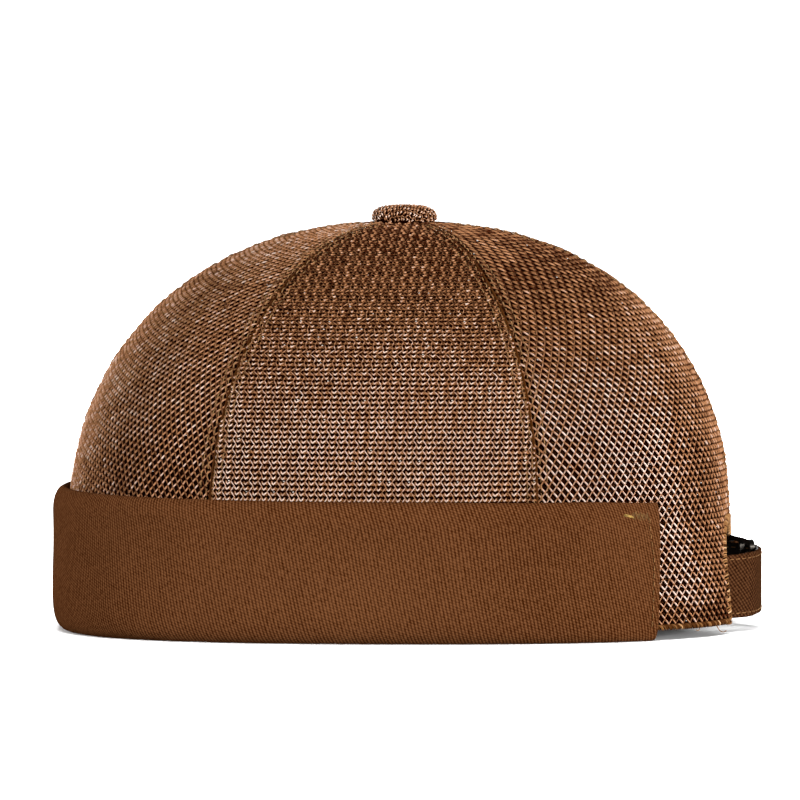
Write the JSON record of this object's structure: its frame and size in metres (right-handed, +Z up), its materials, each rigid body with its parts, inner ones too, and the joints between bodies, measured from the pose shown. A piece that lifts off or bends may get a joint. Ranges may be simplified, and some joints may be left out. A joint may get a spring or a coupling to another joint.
{
  "type": "docker cap",
  "caption": "Brimless docker cap: panelled mesh crown, covered top button, twill turn-up cuff, and a rear arch closed by a twill strap and a metal slide.",
  "frame": {"origin": "on the table, under the middle of the cap's bounding box", "axes": "+Z up, the cap's front towards -Y and its strap towards +Y, the wearer's left side towards +X"},
  "size_m": [0.191, 0.2188, 0.1302],
  "materials": {
    "crown_mesh": "open warp-knit mesh in shiny light brown yarn over a dark layer",
    "cuff_twill": "matte brown cotton twill",
    "strap_twill": "matte brown cotton twill, stitched along both edges",
    "slide_metal": "dark plated metal, satin"
  },
  "bodies": {
    "root": {"crown_panel_front_left": "crown_mesh", "crown_panel_front_right": "crown_mesh", "crown_panel_side_left": "crown_mesh", "crown_panel_side_right": "crown_mesh", "crown_panel_back_left": "crown_mesh", "crown_panel_back_right": "crown_mesh", "top_button": "crown_mesh", "turn_up_cuff": "cuff_twill", "back_strap": "strap_twill", "strap_tab": "strap_twill", "strap_slide": "slide_metal"}
  },
  "joints": []
}
